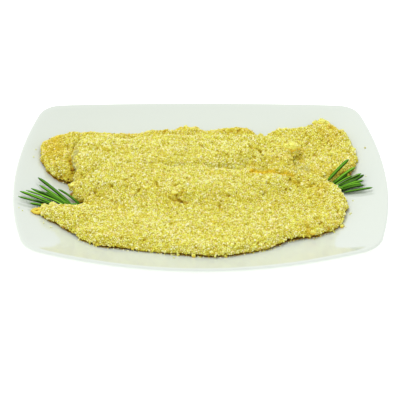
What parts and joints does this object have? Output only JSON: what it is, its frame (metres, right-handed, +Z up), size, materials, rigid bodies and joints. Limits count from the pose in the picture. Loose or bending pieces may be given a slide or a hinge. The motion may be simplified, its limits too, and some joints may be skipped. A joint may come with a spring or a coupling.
{
  "type": "plated breaded schnitzels",
  "caption": "Oblong white porcelain platter with a loose pile of flat breaded schnitzels in pale yellow crumbs and a small sprig of rosemary at each end.",
  "frame": {"origin": "on the table, under the middle of the platter's bounding box", "axes": "+Z up, +X along the platter's length, +Y towards the back of the platter"},
  "size_m": [0.302, 0.248, 0.0309],
  "materials": {
    "porcelain": "glossy white glaze",
    "crumb_back_left": "matt coarse bread crumb, a little browner",
    "crumb_back_right": "matt coarse bread crumb",
    "crumb_middle": "matt coarse bread crumb",
    "crumb_front": "matt coarse bread crumb",
    "rosemary": "satin dark green needle"
  },
  "bodies": {
    "root": {"plate": "porcelain", "schnitzel_back_left": "crumb_back_left", "schnitzel_back_right": "crumb_back_right", "schnitzel_middle": "crumb_middle", "schnitzel_front": "crumb_front", "rosemary_left": "rosemary", "rosemary_right": "rosemary"}
  },
  "joints": []
}
